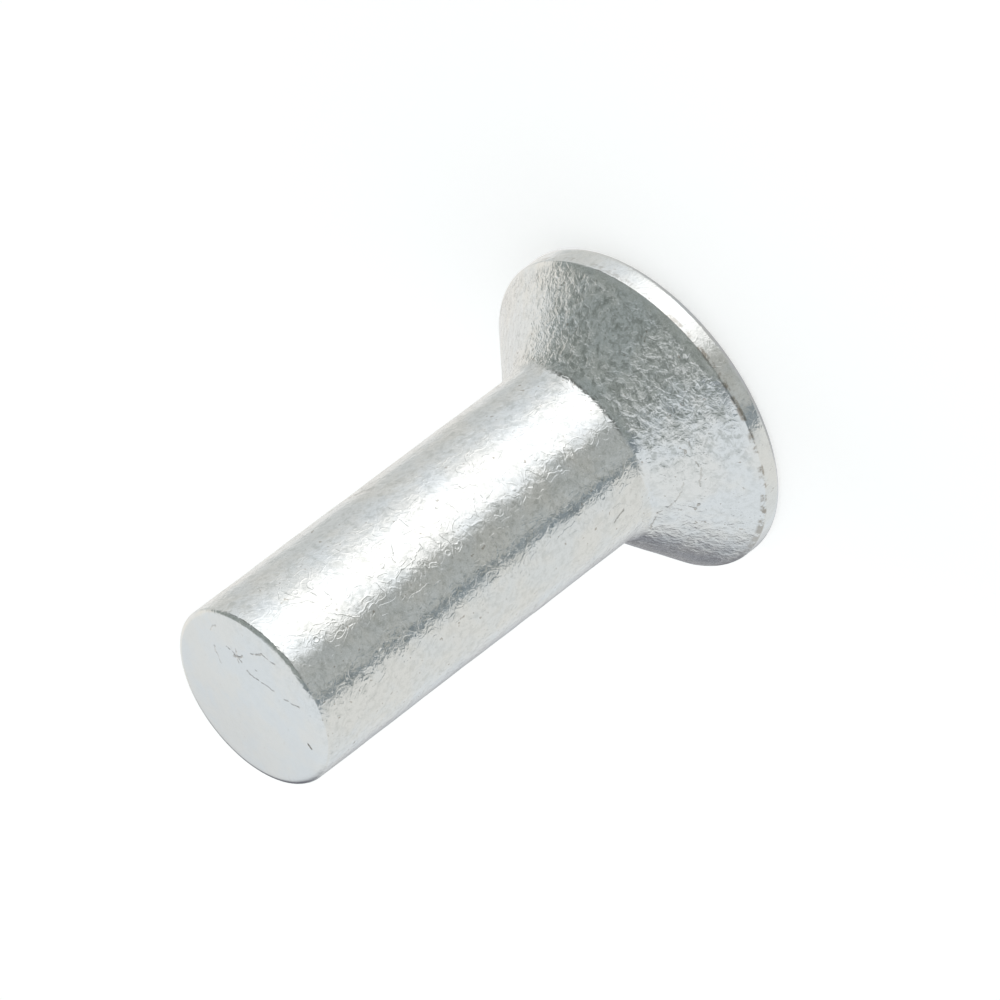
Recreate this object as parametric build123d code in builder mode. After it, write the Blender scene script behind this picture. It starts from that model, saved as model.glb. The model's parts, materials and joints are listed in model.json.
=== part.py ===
"""Solid rivet with a countersunk head, cold-headed in one piece from steel wire.

The rivet stands on the flat face of its head, with its shank pointing up.
Origin: the centre of the head's flat face. +Z runs along the shank, towards the end that is upset.
Units are millimetres.
"""

import os
from math import radians, tan

from build123d import *

# Driving sizes
OVERALL_LENGTH = 14.0  # a countersunk rivet is measured over its head
SHANK_DIAMETER = 5.0
HEAD_DIAMETER = 9.0
HEAD_CONE_ANGLE = 90.0  # included angle of the seat under the head
HEAD_LAND = 0.6  # height of the plain rim between the flat face and the cone

# Rounded corners that cold heading and tumbling leave
FACE_EDGE_RADIUS = 0.2  # where the flat face meets the land
CONE_EDGE_RADIUS = 0.1  # where the land meets the cone
UNDER_HEAD_RADIUS = 0.6  # where the cone runs into the shank
SHANK_END_RADIUS = 0.2  # round the free end of the shank

# Sizes that follow from them
shank_radius = SHANK_DIAMETER / 2
head_radius = HEAD_DIAMETER / 2
cone_height = (head_radius - shank_radius) / tan(radians(HEAD_CONE_ANGLE / 2))
head_height = HEAD_LAND + cone_height

# Corners of the half section as (distance from the axis, height), each with its rounding
corners = [
    ((head_radius, 0), FACE_EDGE_RADIUS),
    ((head_radius, HEAD_LAND), CONE_EDGE_RADIUS),
    ((shank_radius, head_height), UNDER_HEAD_RADIUS),
    ((shank_radius, OVERALL_LENGTH), SHANK_END_RADIUS),
]

# The rivet is one solid: head and shank are the same upset wire, turned here from one half section
with BuildPart() as rivet:
    with BuildSketch(Plane.XZ) as half_section:
        with BuildLine():
            Polyline((0, 0), *[corner for corner, _ in corners], (0, OVERALL_LENGTH), close=True)
        make_face()
        for corner, radius in corners:
            fillet(half_section.vertices().sort_by_distance(corner)[0], radius)
    revolve(axis=Axis.Z)

rivet.part.label = "rivet"

os.makedirs("parts", exist_ok=True)
export_step(rivet.part, "parts/rivet.step")
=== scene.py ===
"""Looks of a solid countersunk rivet: bright zinc plate over tumbled steel.

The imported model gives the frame. The rivet stands on the flat face of its head, its axis is +Z,
and every place is in metres in that frame. Directions round the rivet are given as an azimuth in
degrees: 0 is -Y, 90 is +X.
"""

import json
import logging
import math
from dataclasses import dataclass, field, replace
from enum import Enum

import bpy
import numpy as np
from mathutils import Matrix, Vector


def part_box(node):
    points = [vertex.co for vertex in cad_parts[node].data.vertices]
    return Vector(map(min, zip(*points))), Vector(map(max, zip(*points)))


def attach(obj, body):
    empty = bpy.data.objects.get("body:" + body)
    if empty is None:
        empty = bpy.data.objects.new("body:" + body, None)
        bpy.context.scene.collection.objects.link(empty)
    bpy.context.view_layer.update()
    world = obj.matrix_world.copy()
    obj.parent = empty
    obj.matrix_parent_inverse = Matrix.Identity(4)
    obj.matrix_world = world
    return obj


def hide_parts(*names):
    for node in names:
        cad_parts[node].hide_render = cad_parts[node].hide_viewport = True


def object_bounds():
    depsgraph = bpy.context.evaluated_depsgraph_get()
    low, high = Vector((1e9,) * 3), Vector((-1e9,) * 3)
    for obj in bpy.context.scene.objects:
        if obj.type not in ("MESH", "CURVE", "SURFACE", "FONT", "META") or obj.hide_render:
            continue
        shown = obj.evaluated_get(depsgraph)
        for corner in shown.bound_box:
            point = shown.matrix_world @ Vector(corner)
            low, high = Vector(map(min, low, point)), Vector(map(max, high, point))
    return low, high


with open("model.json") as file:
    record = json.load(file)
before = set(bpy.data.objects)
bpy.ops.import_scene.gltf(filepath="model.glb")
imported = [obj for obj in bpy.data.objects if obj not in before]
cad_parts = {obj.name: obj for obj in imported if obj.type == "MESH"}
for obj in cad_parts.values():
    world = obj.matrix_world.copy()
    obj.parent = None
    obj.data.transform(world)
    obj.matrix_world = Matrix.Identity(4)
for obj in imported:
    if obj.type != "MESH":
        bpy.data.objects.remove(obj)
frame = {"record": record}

CAD_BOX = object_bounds()
MM = 0.001
NODE = "rivet"
TRUE_PLACE = "true_place"
log = logging.getLogger("rivet")


def ease(x: np.ndarray) -> np.ndarray:
    """Cubic ease: 0 below 0, 1 above 1, and x squared times (3 - 2x) between.

    Args:
        x: Any values.

    Returns:
        The eased values, from 0 to 1.
    """
    x = np.clip(x, 0.0, 1.0)
    return x * x * (3.0 - 2.0 * x)


def round_axis(azimuth: float) -> Vector:
    """Level unit vector at an azimuth in degrees."""
    turn = math.radians(azimuth)
    return Vector((math.sin(turn), -math.cos(turn), 0.0))


class Nodes:
    """Short calls for building one node tree."""

    def __init__(self, tree: bpy.types.NodeTree) -> None:
        """Starts from an empty tree.

        Args:
            tree: The tree to fill.
        """
        self.tree = tree
        tree.nodes.clear()

    def add(self, kind: str, values: dict | None = None, **settings: object) -> bpy.types.Node:
        """Adds a node.

        Args:
            kind: The node's type name, without its common prefix.
            values: Socket name or number to a constant, or to the socket that feeds it.
            settings: Properties of the node itself.

        Returns:
            The new node.
        """
        node = self.tree.nodes.new("ShaderNode" + kind)
        for name, value in settings.items():
            setattr(node, name, value)
        for key, value in (values or {}).items():
            if isinstance(value, bpy.types.NodeSocket):
                self.tree.links.new(value, node.inputs[key])
            else:
                node.inputs[key].default_value = value
        return node

    def math(self, operation: str, *values: object) -> bpy.types.NodeSocket:
        """One Math node's result."""
        return self.add("Math", dict(enumerate(values)), operation=operation).outputs[0]

    def ramp(self, value: object, low: float, high: float, start: float = 0.0,
             end: float = 1.0) -> bpy.types.NodeSocket:
        """Eases from start to end as value goes from low to high.

        Args:
            value: The socket that drives it.
            low: Where it starts.
            high: Where it ends, which may be under low.
            start: The result at low and before it.
            end: The result at high and beyond it.

        Returns:
            The eased result.
        """
        values = {"Value": value, "From Min": low, "From Max": high, "To Min": start, "To Max": end}
        return self.add("MapRange", values, interpolation_type="SMOOTHSTEP").outputs["Result"]

    def mix(self, share: object, first: object, second: object) -> bpy.types.NodeSocket:
        """Mixes two colours, second by its share."""
        node = self.add("Mix", {0: share, 6: first, 7: second}, data_type="RGBA")
        return node.outputs[2]

    def noise(self, place: object, per_mm: float, detail: float = 2.0, rough: float = 0.5,
              bend: float = 0.0) -> bpy.types.NodeSocket:
        """Noise with so many features to a millimetre, where place is in millimetres.

        Args:
            place: Where to read it, in millimetres.
            per_mm: Features to a millimetre.
            detail: Octaves.
            rough: How strong the finer octaves are.
            bend: How far the pattern is warped.

        Returns:
            The noise, about 0.5 on average.
        """
        values = {"Vector": place, "Scale": per_mm, "Detail": detail, "Roughness": rough, "Distortion": bend}
        return self.add("TexNoise", values).outputs[0]


class Stretch(Enum):
    """Stretches of the half section, from the head's flat face up, with how many rings each has."""

    FACE = 30
    FACE_EDGE = 9
    LAND = 5
    CONE_EDGE = 5
    CONE = 40
    UNDER_HEAD = 12
    SHANK = 130
    SHANK_EDGE = 10
    END = 26


@dataclass
class HalfSection:
    """The outline that is turned round the axis, in metres."""

    length: float
    shank: float
    head: float
    land: float = 0.63 * MM
    cone: float = 46.0
    face_edge: float = 0.22 * MM
    cone_edge: float = 0.1 * MM
    under_head: float = 0.6 * MM
    shank_edge: float = 0.2 * MM

    def corners(self) -> list[tuple[np.ndarray, float]]:
        """The outline's corners as (radius, height), each with its rounding.

        Returns:
            The corners from the flat face's edge to the free end's edge. The cone falls away from the
            axis by its angle, so its height is its width over the tangent of that angle.
        """
        neck = self.land + (self.head - self.shank) / math.tan(math.radians(self.cone))
        return [
            (np.array((self.head, 0.0)), self.face_edge),
            (np.array((self.head, self.land)), self.cone_edge),
            (np.array((self.shank, neck)), self.under_head),
            (np.array((self.shank, self.length)), self.shank_edge),
        ]

    def rings(self) -> np.ndarray:
        """Points along the outline, one for each ring of the turned surface.

        Straight stretches are divided evenly. At a corner the two sides touch a circle at the distance
        radius times the tangent of half the turn, and the circle is divided into equal angles.

        Returns:
            An array of (radius, height) rows from the axis at the flat face to the axis at the free end.
        """
        corners = self.corners()
        ends = [np.array((0.0, 0.0)), *[c for c, _ in corners], np.array((0.0, self.length))]
        flats = [Stretch.FACE, Stretch.LAND, Stretch.CONE, Stretch.SHANK, Stretch.END]
        rounds = [Stretch.FACE_EDGE, Stretch.CONE_EDGE, Stretch.UNDER_HEAD, Stretch.SHANK_EDGE]
        rows = []
        start = ends[0]
        for i, (corner, radius) in enumerate(corners):
            came = corner - ends[i]
            goes = ends[i + 2] - corner
            came, goes = came / np.linalg.norm(came), goes / np.linalg.norm(goes)
            turn = math.acos(float(came @ goes))
            reach = radius * math.tan(turn / 2)
            touch = corner - came * reach
            steps = np.linspace(0, 1, flats[i].value, endpoint=False)[:, None]
            rows.append(start + (touch - start) * steps)
            side = (goes - came * math.cos(turn)) / math.sin(turn)
            angles = np.linspace(0, turn, rounds[i].value, endpoint=False)[:, None]
            rows.append(touch + radius * (came * np.sin(angles) + side * (1 - np.cos(angles))))
            start = corner + goes * reach
        steps = np.linspace(0, 1, flats[-1].value)[:, None]
        rows.append(start + (ends[-1] - start) * steps)
        return np.concatenate(rows)[1:-1]


@dataclass
class Peel:
    """The slow unevenness that tumbling leaves: a sum of seeded waves."""

    seed: int = 11
    waves: int = 90
    shortest: float = 0.5 * MM
    longest: float = 2.5 * MM
    slope: float = 0.016

    def height(self, points: np.ndarray) -> np.ndarray:
        """Height of the unevenness at points.

        Each wave is the sine of the point along a random direction, divided by the wave's own length,
        and as high as gives it its share of the slope.

        Args:
            points: An array of points, in metres.

        Returns:
            The height at each point, in metres.
        """
        random = np.random.default_rng(self.seed)
        ways = random.normal(size=(self.waves, 3))
        ways /= np.linalg.norm(ways, axis=1, keepdims=True)
        lengths = self.shortest * (self.longest / self.shortest) ** random.random(self.waves)
        phases = random.random(self.waves) * 2 * math.pi
        turns = points @ (ways * (2 * math.pi / lengths)[:, None]).T + phases
        heights = lengths / (2 * math.pi) * self.slope * math.sqrt(2 / self.waves)
        return np.sin(turns) @ heights


class Side(Enum):
    """Where on the rivet a mark lies, and what its second measure is, in millimetres."""

    SEAT = "distance from the axis, on the cone under the head"
    SHANK = "height above the head's flat face"
    END = "distance from the axis, on the free end"


@dataclass(frozen=True)
class Mark:
    """A line scratched or creased into the plate, from and to (azimuth in degrees, measure)."""

    side: Side
    start: tuple
    end: tuple
    width: float = 0.03
    depth: float = 1.0

    def places(self, section: HalfSection) -> tuple[Vector, Vector]:
        """The two ends of the mark, in millimetres.

        Args:
            section: The outline that the mark lies on.

        Returns:
            The start and the end. On the cone, the height is the one that the outline has at that
            distance from the axis.
        """
        return self.place(section, *self.start), self.place(section, *self.end)

    def place(self, section: HalfSection, azimuth: float, measure: float) -> Vector:
        """One place on the mark's side of the rivet, in millimetres."""
        if self.side is Side.SHANK:
            radius, height = section.shank / MM, measure
        elif self.side is Side.END:
            radius, height = measure, section.length / MM
        else:
            rise = (section.head / MM - measure) / math.tan(math.radians(section.cone))
            radius, height = measure, section.land / MM + rise
        return round_axis(azimuth) * radius + Vector((0.0, 0.0, height))


MARKS = (
    # crease where the shank runs into the seat
    Mark(Side.SEAT, (-80, 2.62), (-64, 2.66), 0.035, 0.8),
    Mark(Side.SEAT, (-64, 2.66), (-55, 2.95), 0.03, 0.6),
    Mark(Side.SEAT, (-55, 2.95), (-44, 3.15), 0.025, 0.5),
    # nicks in the seat
    Mark(Side.SEAT, (-24, 3.45), (-36, 3.45), 0.025, 0.7),
    Mark(Side.SEAT, (-37, 3.48), (-46, 3.40), 0.035, 0.5),
    Mark(Side.SEAT, (-57, 3.36), (-60, 3.28), 0.05, 1.0),
    Mark(Side.SEAT, (-58, 3.20), (-61, 3.45), 0.02, 0.6),
    # dashes and a smear on the shank
    Mark(Side.SHANK, (-50, 3.80), (-46, 3.42), 0.04, 0.9),
    Mark(Side.SHANK, (66, 8.30), (84, 8.75), 0.12, 0.35),
    Mark(Side.SHANK, (74, 8.05), (82, 8.25), 0.08, 0.30),
    # scratches on the free end: a star, and loops beside it
    Mark(Side.END, (48, 1.20), (49, 1.55), 0.03, 0.8),
    Mark(Side.END, (56, 1.30), (40, 1.42), 0.035, 0.9),
    Mark(Side.END, (62, 1.62), (42, 1.25), 0.025, 0.7),
    Mark(Side.END, (30, 1.70), (20, 1.98), 0.035, 0.7),
    Mark(Side.END, (20, 1.98), (8, 2.10), 0.03, 0.5),
    Mark(Side.END, (34, 1.05), (10, 1.12), 0.03, 0.6),
    Mark(Side.END, (10, 1.12), (-8, 1.30), 0.03, 0.5),
    Mark(Side.END, (28, 1.30), (16, 1.35), 0.025, 0.4),
    Mark(Side.END, (-18, 1.55), (-26, 1.95), 0.025, 0.5),
    Mark(Side.END, (80, 1.60), (86, 1.15), 0.03, 0.4),
    Mark(Side.END, (74, 2.02), (66, 2.12), 0.03, 0.4),
    Mark(Side.END, (-59, 2.00), (-61, 2.08), 0.05, 1.6),
)


@dataclass(frozen=True)
class Ground:
    """What the finish reads at each point of the rivet, as sockets. Lengths are in millimetres."""

    place: bpy.types.NodeSocket
    height: bpy.types.NodeSocket
    radius: bpy.types.NodeSocket
    azimuth: bpy.types.NodeSocket
    seat: bpy.types.NodeSocket
    calm: bpy.types.NodeSocket
    grit: bpy.types.NodeSocket
    marks: bpy.types.NodeSocket


@dataclass(frozen=True)
class ZincPlate:
    """Bright zinc plate with a blue-white wash, over steel that was tumbled.

    Heights are in millimetres, sides are azimuths in degrees, and the rest are shares.
    """

    colour: tuple = (0.82, 0.83, 0.83, 1.0)
    cool: tuple = (0.76, 0.81, 0.86, 1.0)
    warm: tuple = (0.86, 0.83, 0.78, 1.0)
    # grey of the random flecks, and of the painted shade where the grit dips
    fleck_and_shade_grey: tuple = (0.40, 0.42, 0.40, 1.0)
    dirt: tuple = (0.30, 0.26, 0.21, 1.0)
    roughness: float = 0.13
    seat_roughness: float = 0.04
    waves: float = 0.010
    grit: float = 0.016
    seat_grit: float = 0.034
    curls: float = 0.0036
    pits: float = 0.004
    scratch: float = 0.016
    stray: float = 0.16
    wash: float = 0.30
    mottle: float = 0.15
    # the next two: painted shade, more grey on the side of the seat that mirrors the tent's dark panel, and
    # that side's azimuth
    painted_shade_mottle: float = 0.50
    painted_shade_side: float = 15.0
    mark_dirt: float = 0.55
    edge_grime: float = 0.8
    edge_height: float = 0.60
    grime_side: float = -30.0

    def lines(self, n: Nodes, section: HalfSection) -> bpy.types.NodeSocket:
        """How deep a place is in any of the marks, from 0 to the deepest mark's depth.

        The distance to a mark is the distance to the nearest point of its line, which is the share
        along it, held between 0 and 1, that the dot product gives. The place is the one that the
        point has on the true outline, before its faults.

        Args:
            n: The node tree to add to.
            section: The outline that the marks lie on.

        Returns:
            The depth of the deepest mark at the place.
        """
        place = n.add("Attribute", attribute_name=TRUE_PLACE).outputs["Vector"]
        stray = n.add("TexNoise", {"Vector": place, "Scale": 5.0, "Detail": 2.0}).outputs[1]
        shake = n.add("VectorMath", {0: stray, 1: (0.5, 0.5, 0.5)}, operation="SUBTRACT").outputs[0]
        reach = (self.stray, self.stray, self.stray)
        wobbly = n.add("VectorMath", {0: shake, 1: reach, 2: place}, operation="MULTIPLY_ADD").outputs[0]
        deepest = 0.0
        for mark in MARKS:
            start, stop = mark.places(section)
            run = stop - start
            off = n.add("VectorMath", {0: wobbly, 1: start}, operation="SUBTRACT").outputs[0]
            ruler = run / run.length_squared
            share = n.add("VectorMath", {0: off, 1: ruler}, operation="DOT_PRODUCT").outputs[1]
            share = n.math("MINIMUM", n.math("MAXIMUM", share, 0.0), 1.0)
            near = n.add("VectorMath", {0: run, "Scale": share}, operation="SCALE").outputs[0]
            gap = n.add("VectorMath", {0: off, 1: near}, operation="DISTANCE").outputs[1]
            deepest = n.math("MAXIMUM", n.ramp(gap, mark.width, mark.width * 0.3, 0.0, mark.depth), deepest)
        return deepest

    def pocks(self, n: Nodes, place: object) -> bpy.types.NodeSocket:
        """Small round pits with a raised lip, in one cell of seven.

        Args:
            n: The node tree to add to.
            place: Where to read it, in millimetres.

        Returns:
            Height: -1 at the bottom of a pit, up to 1 on its lip, 0 elsewhere.
        """
        cells = n.add("TexVoronoi", {"Vector": place, "Scale": 3.4, "Randomness": 1.0})
        gap = cells.outputs["Distance"]
        pick = n.add("SeparateColor", {0: cells.outputs["Color"]}).outputs[0]
        some = n.ramp(pick, 0.84, 0.90)
        lip = n.ramp(n.math("ABSOLUTE", n.math("SUBTRACT", gap, 0.26)), 0.09, 0.0)
        bottom = n.ramp(gap, 0.22, 0.08)
        return n.math("MULTIPLY", some, n.math("SUBTRACT", lip, bottom))

    def ground(self, n: Nodes, section: HalfSection) -> Ground:
        """Works out what the rest of the finish reads.

        The seat is the cone between the shank and the land. The free end and the land are calm,
        because the tools that cropped and headed the wire pressed them smooth.

        Args:
            n: The node tree to add to.
            section: The outline that the marks lie on.

        Returns:
            The sockets, from Object coordinates turned into millimetres.
        """
        where = n.add("TexCoord").outputs["Object"]
        place = n.add("VectorMath", {0: where, "Scale": 1 / MM}, operation="SCALE").outputs[0]
        split = n.add("SeparateXYZ", {0: place}).outputs
        flat = n.add("VectorMath", {0: place, 1: (1.0, 1.0, 0.0)}, operation="MULTIPLY").outputs[0]
        radius = n.add("VectorMath", {0: flat}, operation="LENGTH").outputs[1]
        azimuth = n.math("DEGREES", n.math("ARCTAN2", split[0], n.math("MULTIPLY", split[1], -1.0)))
        seat = n.math("MULTIPLY", n.ramp(radius, 2.52, 2.75), n.ramp(radius, 4.46, 4.30))
        pressed = n.math("MAXIMUM", n.ramp(split[2], 13.70, 13.90), n.ramp(radius, 4.30, 4.46, 0.0, 0.6))
        calm = n.math("MULTIPLY_ADD", pressed, -0.85, 1.0)
        grit = n.noise(place, 4.8, 3.0, 0.60, 0.6)
        return Ground(place, split[2], radius, azimuth, seat, calm, grit, self.lines(n, section))

    def relief(self, n: Nodes, on: Ground) -> bpy.types.NodeSocket:
        """Height of the finish in millimetres: waves, patchy grit and curled ridges, pocks and marks."""
        patches = n.ramp(n.noise(on.place, 0.8, 2.0), 0.38, 0.60, 0.62, 1.0)
        curl_field = n.noise(on.place, 2.3, 1.2, 0.5, 1.0)
        curl = n.ramp(n.math("ABSOLUTE", n.math("SUBTRACT", curl_field, 0.5)), 0.05, 0.0)
        coarse_grit = n.math("MULTIPLY_ADD", on.seat, self.seat_grit, self.grit)
        height = n.math("MULTIPLY", n.noise(on.place, 2.2, 2.0), self.waves)
        height = n.math("MULTIPLY_ADD", on.grit, n.math("MULTIPLY", patches, coarse_grit), height)
        height = n.math("MULTIPLY_ADD", n.math("MULTIPLY", curl, patches), self.curls, height)
        height = n.math("MULTIPLY_ADD", self.pocks(n, on.place), self.pits, height)
        height = n.math("MULTIPLY", height, on.calm)
        return n.math("MULTIPLY_ADD", on.marks, -self.scratch, height)

    def mottled(self, n: Nodes, on: Ground) -> bpy.types.NodeSocket:
        """Colour of the plate: the wash, grey flecks at random, and painted shade where the grit dips; the
        grey gathers as painted shade on the side that mirrors the tent's dark panel.
        """
        wash = n.ramp(n.noise(on.place, 0.8, 3.0, 0.6), 0.38, 0.62)
        colour = n.mix(self.wash, self.colour, n.mix(wash, self.cool, self.warm))
        # painted shade: the grey gathers on the side whose seat mirrors the tent's dark panel
        off_side = n.math("ABSOLUTE", n.math("SUBTRACT", on.azimuth, self.painted_shade_side))
        painted_shade_mottle = n.math("MULTIPLY", n.ramp(off_side, 62.0, 30.0), n.math("MULTIPLY_ADD", on.seat, 0.8, 0.2))
        share = n.math("MULTIPLY", n.math("MULTIPLY_ADD", painted_shade_mottle, self.painted_shade_mottle, self.mottle), on.calm)
        fleck = n.ramp(n.noise(on.place, 6.0, 3.0, 0.62), 0.54, 0.34)
        colour = n.mix(n.math("MULTIPLY", fleck, share), colour, self.fleck_and_shade_grey)
        # painted shade: grey where the grit noise that raises the bump is low, in its dips
        return n.mix(n.math("MULTIPLY", n.ramp(on.grit, 0.50, 0.34), share), colour, self.fleck_and_shade_grey)

    def soiled(self, n: Nodes, on: Ground, colour: bpy.types.NodeSocket) -> bpy.types.NodeSocket:
        """Adds the dirt: specks, dark marks, and broken grime along the edge of the seat."""
        specks = n.ramp(n.noise(on.place, 6.0, 2.0, 0.6), 0.68, 0.74, 0.0, 0.6)
        colour = n.mix(n.math("MULTIPLY", specks, on.calm), colour, self.dirt)
        colour = n.mix(n.math("MULTIPLY", on.marks, self.mark_dirt), colour, self.dirt)
        from_edge = n.math("ABSOLUTE", n.math("SUBTRACT", on.height, self.edge_height))
        edge = n.math("MULTIPLY", n.ramp(from_edge, 0.09, 0.03), n.ramp(on.radius, 4.30, 4.40))
        off_side = n.math("ABSOLUTE", n.math("SUBTRACT", on.azimuth, self.grime_side))
        facing = n.ramp(off_side, 60.0, 25.0, 0.4, 1.0)
        broken = n.ramp(n.noise(on.place, 2.6, 3.0, 0.7), 0.44, 0.60)
        grime = n.math("MULTIPLY", n.math("MULTIPLY", edge, facing), broken)
        return n.mix(n.math("MULTIPLY", grime, self.edge_grime), colour, self.dirt)

    def material(self, section: HalfSection) -> bpy.types.Material:
        """Makes the finish.

        Args:
            section: The outline that the marks lie on.

        Returns:
            A material that reads Object coordinates, and the attribute that holds each point's place
            on the true outline.
        """
        made = bpy.data.materials.new("zinc_plate")
        made.use_nodes = True
        n = Nodes(made.node_tree)
        on = self.ground(n, section)
        bump = n.add("Bump", {"Height": self.relief(n, on), "Strength": 1.0, "Distance": MM}).outputs[0]
        colour = self.soiled(n, on, self.mottled(n, on))
        rough = n.ramp(n.noise(on.place, 3.0, 3.0), 0.3, 0.7, self.roughness - 0.03, self.roughness + 0.05)
        rough = n.math("MULTIPLY_ADD", on.seat, self.seat_roughness, rough)
        values = {"Base Color": colour, "Metallic": 1.0, "Roughness": rough, "Normal": bump}
        shader = n.add("BsdfPrincipled", values)
        n.add("OutputMaterial", {0: shader.outputs[0]})
        return made


@dataclass
class Rivet:
    """The rivet: a turned surface with the faults that heading, cropping and tumbling leave."""

    section: HalfSection
    around: int = 360
    lean: float = 0.086 * MM
    lean_azimuth: float = 76.0
    drift: tuple = (0.065 * MM, 0.014 * MM)
    skew: float = 0.069 * MM
    skew_azimuth: float = -166.0
    crown: float = 0.045 * MM
    tight_edge: float = 0.14 * MM
    loose_edge: float = 0.27 * MM
    tight_azimuth: float = 38.0
    peel: Peel = field(default_factory=Peel)

    def points(self) -> tuple[np.ndarray, np.ndarray]:
        """Places of the surface's grid of points.

        A point is its ring's radius along its azimuth, at the ring's height. The outline blends from
        the one with the tight edge at the free end to the one with the loose edge, by half of one
        less the cosine of the azimuth from the tight side. The land's upper rim is higher towards one
        side: the rise is the cosine of the azimuth from that side, and it fades out over the cone and
        down the land. The free end is cropped askew, so it falls by the skew times the radius share
        times one less the cosine of the azimuth from its high side, and by the crown times the square
        of that share. The shank drifts sideways from the head's middle, over the cone. Then each point
        moves along the outline's normal by the unevenness.

        Returns:
            An array of (ring, place round the ring, x y z), and the same for the true outline, before
            any fault.
        """
        s = self.section
        turn = np.linspace(0, 2 * math.pi, self.around, endpoint=False)
        tight = replace(s, shank_edge=self.tight_edge).rings()[:, None, :]
        loose = replace(s, shank_edge=self.loose_edge).rings()[:, None, :]
        blend = (1 - np.cos(turn - math.radians(self.tight_azimuth)))[None, :, None] / 2
        rings = tight + (loose - tight) * blend
        radius, height = rings[..., 0], rings[..., 1]
        along = np.gradient(rings, axis=0)
        along /= np.linalg.norm(along, axis=2, keepdims=True)
        out, up = along[..., 1], -along[..., 0]
        rim = ease((radius - s.shank) / (s.head - s.shank)) * ease(height / s.land)
        rise = self.lean * rim * np.cos(turn - math.radians(self.lean_azimuth))
        cropped = ease((height - s.length + 1.5 * MM) / (1.5 * MM))
        share = radius / s.shank
        fall = self.skew * share * (1 - np.cos(turn - math.radians(self.skew_azimuth)))
        fall = (fall + self.crown * share ** 2) * cropped
        away = 1 - ease((radius - s.shank) / (s.head - s.shank))
        away = np.where(height < s.land, 0.0, away)
        x = radius * np.sin(turn) + self.drift[0] * away
        y = -radius * np.cos(turn) + self.drift[1] * away
        grid = np.stack([x, y, height + rise - fall], axis=-1)
        true = np.stack([radius * np.sin(turn), -radius * np.cos(turn), height + 0 * turn], axis=-1)
        bump = self.peel.height(grid.reshape(-1, 3)).reshape(grid.shape[:2])
        bump = bump * ease(height / (0.5 * MM)) * (1 - 0.7 * cropped)
        normal = np.stack([out * np.sin(turn), -out * np.cos(turn), up + 0 * turn], axis=-1)
        return grid + normal * bump[..., None], true

    def build(self) -> bpy.types.Object:
        """Makes the mesh: rings joined by squares, with a fan round the axis at each end.

        Returns:
            The rivet's object, at the origin.
        """
        grid, true = self.points()
        rings, around = grid.shape[:2]
        low, high = grid[0].mean(axis=0), grid[-1].mean(axis=0)
        verts = np.concatenate([grid.reshape(-1, 3), [low], [high]])
        first = np.arange(rings * around).reshape(rings, around)
        after = np.roll(first, -1, axis=1)
        quads = np.stack([first[:-1], after[:-1], after[1:], first[1:]], axis=-1).reshape(-1, 4)
        bottom = np.stack([after[0], first[0], np.full(around, len(verts) - 2)], axis=-1)
        top = np.stack([first[-1], after[-1], np.full(around, len(verts) - 1)], axis=-1)
        mesh = bpy.data.meshes.new("rivet_body")
        mesh.from_pydata(verts.tolist(), [], quads.tolist() + bottom.tolist() + top.tolist())
        mesh.shade_smooth()
        mesh.update()
        low, high = true[0].mean(axis=0), true[-1].mean(axis=0)
        places = np.concatenate([true.reshape(-1, 3), [low], [high]]) / MM
        attribute = mesh.attributes.new(TRUE_PLACE, "FLOAT_VECTOR", "POINT")
        attribute.data.foreach_set("vector", places.ravel())
        made = bpy.data.objects.new("rivet_body", mesh)
        bpy.context.scene.collection.objects.link(made)
        return made

    def dress(self, body: bpy.types.Object, finish: ZincPlate) -> None:
        """Gives the rivet its finish and its place in the frame."""
        body.data.materials.append(finish.material(self.section))
        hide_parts(NODE)
        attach(body, "root")
        log.info("%s: %d faces", body.name, len(body.data.polygons))


@dataclass(frozen=True)
class Panel:
    """A soft-edged panel of the light tent: where it hangs, as seen from the rivet, and how bright it is.

    A torn panel lets the walls show through in small patches, up to its torn share.
    """

    azimuth: float
    width: float
    low: float
    high: float
    level: tuple
    soft: float = 8.0
    soft_height: float = 6.0
    torn: float = 0.0


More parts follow.
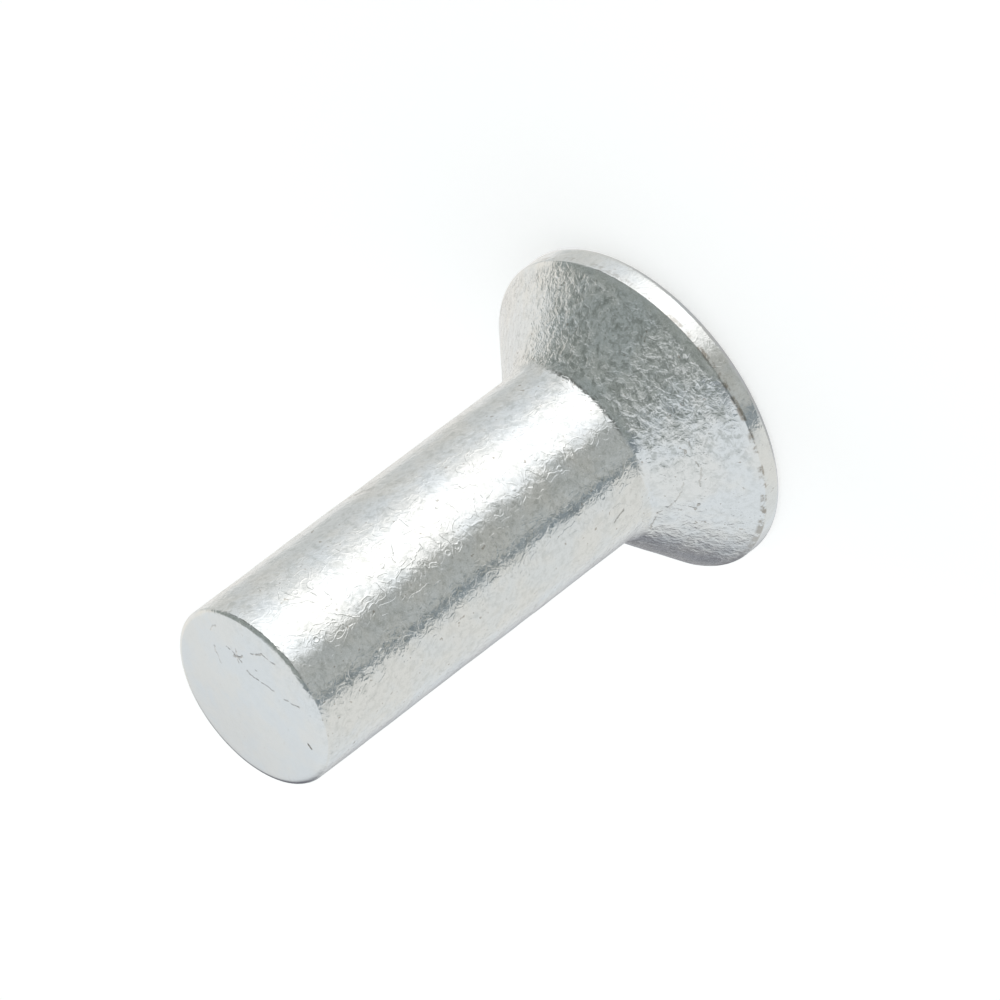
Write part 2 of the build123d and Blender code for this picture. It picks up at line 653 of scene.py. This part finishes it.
@dataclass(frozen=True)
class LightTent:
    """A pale tent round the rivet, with lighter and darker panels that the plating mirrors."""

    walls: tuple = (0.82, 0.85, 0.86, 1.0)
    seen: tuple = (1.0, 1.0, 1.0, 1.0)
    panels: tuple = (
        # lower half, which the shank mirrors
        Panel(-90, 84, -91, 0, (0.80, 0.81, 0.79, 1.0), 12),
        Panel(128, 52, -91, 0, (0.68, 0.69, 0.67, 1.0), 34),
        Panel(-24, 62, -91, 6, (0.36, 0.37, 0.34, 1.0), 6, 20, 0.60),
        Panel(-6, 8, -91, 0, (0.36, 0.37, 0.35, 1.0), 6, 6, 0.3),
        Panel(-49, 11, -91, 2, (0.19, 0.23, 0.25, 1.0), 3, 6, 0.3),
        # upper half, which the seat under the head mirrors
        Panel(138, 60, -2, 26, (0.93, 0.91, 0.86, 1.0), 30, 20),
        Panel(44, 158, 2, 72, (0.20, 0.23, 0.21, 1.0), 6, 24, 0.52),
        Panel(-31, 12, 4, 66, (0.13, 0.16, 0.18, 1.0), 5, 16, 0.3),
        Panel(40, 110, -3, 9, (0.15, 0.16, 0.15, 1.0), 30, 4),
        # the lamp, and the shade under the rivet
        Panel(41, 52, -91, -3, (1.50, 1.50, 1.48, 1.0), 46, 3),
        Panel(0, 360, -91, -54, (0.52, 0.53, 0.53, 1.0), 1, 10),
        # behind, which the outlines mirror
        Panel(-170, 24, -91, 14, (0.40, 0.40, 0.42, 1.0), 50, 56),
        Panel(-166, 46, -14, 10, (0.12, 0.12, 0.14, 1.0), 36, 30),
        Panel(160, 34, -40, 20, (0.92, 0.91, 0.88, 1.0), 8, 10),
    )

    def build(self) -> None:
        """Makes the world: each panel in turn covers what is behind it.

        A panel's cover is the product of two eased windows, one over the azimuth from its middle and
        one over the elevation.
        """
        world = bpy.data.worlds.new("light_tent")
        world.use_nodes = True
        n = Nodes(world.node_tree)
        way = n.add("TexCoord").outputs["Generated"]
        split = n.add("SeparateXYZ", {0: way})
        back = n.math("MULTIPLY", split.outputs[1], -1.0)
        azimuth = n.math("DEGREES", n.math("ARCTAN2", split.outputs[0], back))
        elevation = n.math("DEGREES", n.math("ARCSINE", split.outputs[2]))
        patches = n.ramp(n.noise(way, 17.0, 3.0, 0.6), 0.44, 0.60)
        colour = self.walls
        for panel in self.panels:
            off = n.math("WRAP", n.math("SUBTRACT", azimuth, panel.azimuth), 180.0, -180.0)
            half, soft, tall = panel.width / 2, panel.soft / 2, panel.soft_height / 2
            beside = n.ramp(n.math("ABSOLUTE", off), half + soft, half - soft)
            above = n.ramp(elevation, panel.low - tall, panel.low + tall)
            below = n.ramp(elevation, panel.high + tall, panel.high - tall)
            cover = n.math("MULTIPLY", beside, n.math("MULTIPLY", above, below))
            level = n.mix(n.math("MULTIPLY", patches, panel.torn), panel.level, self.walls)
            colour = n.mix(cover, colour, level)
        camera = n.add("LightPath").outputs["Is Camera Ray"]
        colour = n.mix(camera, colour, self.seen)
        glow = n.add("Background", {"Color": colour, "Strength": 1.0})
        n.add("OutputWorld", {0: glow.outputs[0]})
        bpy.context.scene.world = world


@dataclass(frozen=True)
class Floor:
    """A plain white sheet that the rivet stands on."""

    reach: float = 3.0
    colour: tuple = (0.80, 0.80, 0.80, 1.0)
    glow: float = 0.52

    def build(self) -> bpy.types.Object:
        """Makes the floor, just under the rivet.

        Returns:
            The floor's object. The plating mirrors the tent under it, not the floor.
        """
        sheet = bpy.data.materials.new("floor_sheet")
        sheet.use_nodes = True
        n = Nodes(sheet.node_tree)
        matte = n.add("BsdfDiffuse", {"Color": self.colour})
        path = n.add("LightPath")
        shows = n.math("MAXIMUM", path.outputs["Is Glossy Ray"], path.outputs["Is Transmission Ray"])
        shows = n.math("MAXIMUM", path.outputs["Is Camera Ray"], shows)
        glow = n.add("Emission", {"Color": (1, 1, 1, 1), "Strength": n.math("MULTIPLY", shows, self.glow)})
        both = n.add("AddShader", {0: matte.outputs[0], 1: glow.outputs[0]})
        n.add("OutputMaterial", {0: both.outputs[0]})
        r, z = self.reach, CAD_BOX[0].z - 0.002 * MM
        mesh = bpy.data.meshes.new("floor")
        mesh.from_pydata([(-r, -r, z), (r, -r, z), (r, r, z), (-r, r, z)], [], [(0, 1, 2, 3)])
        mesh.materials.append(sheet)
        made = bpy.data.objects.new("floor", mesh)
        bpy.context.scene.collection.objects.link(made)
        made.visible_glossy = False
        return made


@dataclass(frozen=True)
class View:
    """A long lens that looks down on the rivet, rolled so that the shank points to the lower left."""

    elevation: float = 29.36
    roll: float = -127.12
    lens: float = 300.0
    distance: float = 203.6 * MM
    aim: tuple = (0.269 * MM, -0.796 * MM, 5.526 * MM)

    def build(self) -> bpy.types.Object:
        """Makes the camera: its back points from the aim along azimuth 0, raised by the elevation.

        Returns:
            The camera's object.
        """
        tilt = math.radians(self.elevation)
        back = round_axis(0.0) * math.cos(tilt) + Vector((0, 0, math.sin(tilt)))
        level = Vector((1.0, 0.0, 0.0))
        upright = back.cross(level)
        roll = math.radians(self.roll)
        right = level * math.cos(roll) + upright * math.sin(roll)
        up = back.cross(right)
        lens = bpy.data.cameras.new("view")
        lens.sensor_width = 36.0
        lens.lens = self.lens
        lens.clip_start = self.distance / 20
        made = bpy.data.objects.new("view", lens)
        turn = Matrix((right, up, back)).transposed().to_4x4()
        made.matrix_world = Matrix.Translation(Vector(self.aim) + back * self.distance) @ turn
        bpy.context.scene.collection.objects.link(made)
        bpy.context.scene.camera = made
        return made


def write_sizes() -> None:
    bpy.context.view_layer.update()


def main() -> None:
    """Builds the rivet and its studio."""
    logging.basicConfig(level=logging.INFO, format="%(message)s")
    bpy.context.scene.view_settings.view_transform = "Standard"
    View().build()
    low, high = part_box(NODE)
    shank = next(m for m in frame["record"]["mounts"] if m["name"] == "shank")
    section = HalfSection(high[2] - low[2], shank["dims"]["r_mm"] * MM, (high[0] - low[0]) / 2)
    rivet = Rivet(section)
    rivet.dress(rivet.build(), ZincPlate())
    Floor().build()
    LightTent().build()
    write_sizes()


if __name__ == "__main__":
    main()
